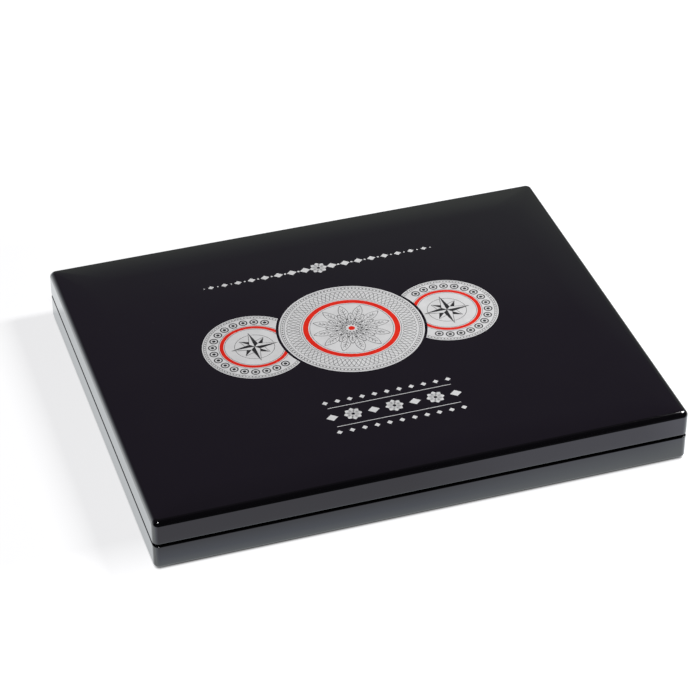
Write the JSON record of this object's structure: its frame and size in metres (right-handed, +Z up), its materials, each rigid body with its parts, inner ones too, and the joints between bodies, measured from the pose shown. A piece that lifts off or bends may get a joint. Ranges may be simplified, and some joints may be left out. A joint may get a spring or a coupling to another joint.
{
  "type": "coin case",
  "caption": "Flat lacquered presentation case for coins, with a hinged lid, a recessed tray and a padded lid lining.",
  "frame": {"origin": "middle of the felt underside, on the surface that the case stands on", "axes": "+X along the width, +Y from the front to the hinges, +Z up"},
  "size_m": [0.305, 0.245, 0.0326],
  "materials": {
    "lacquer": "gloss black lacquer over board",
    "felt": "black felt",
    "board": "dark grey board",
    "velour": "deep blue velour over board",
    "satin": "ivory satin",
    "brass": "polished brass",
    "nickel": "nickel plate"
  },
  "bodies": {
    "base": {"base_panel": "lacquer", "base_front_rail": "lacquer", "base_rear_rail": "lacquer", "base_left_rail": "lacquer", "base_right_rail": "lacquer", "base_felt": "felt", "coin_tray": "velour", "tray_backing_board": "velour", "left_hinge_base_leaf": "brass", "left_hinge_pin": "brass", "left_hinge_base_screws": "brass", "right_hinge_base_leaf": "brass", "right_hinge_pin": "brass", "right_hinge_base_screws": "brass", "base_magnet_left": "nickel", "base_magnet_right": "nickel"},
    "lid": {"lid_panel": "lacquer", "lid_front_rail": "lacquer", "lid_rear_rail": "lacquer", "lid_left_rail": "lacquer", "lid_right_rail": "lacquer", "lid_lining_board": "board", "lid_satin_pad": "satin", "left_hinge_lid_leaf": "brass", "left_hinge_lid_screws": "brass", "right_hinge_lid_leaf": "brass", "right_hinge_lid_screws": "brass", "lid_magnet_left": "nickel", "lid_magnet_right": "nickel"}
  },
  "joints": [
    {"name": "lid_hinge", "type": "hinge", "parent": "base", "child": "lid", "pos_m": [0, 0.1199, 0.0172], "axis": [-1, 0, 0], "range_deg": [0, 100]}
  ]
}
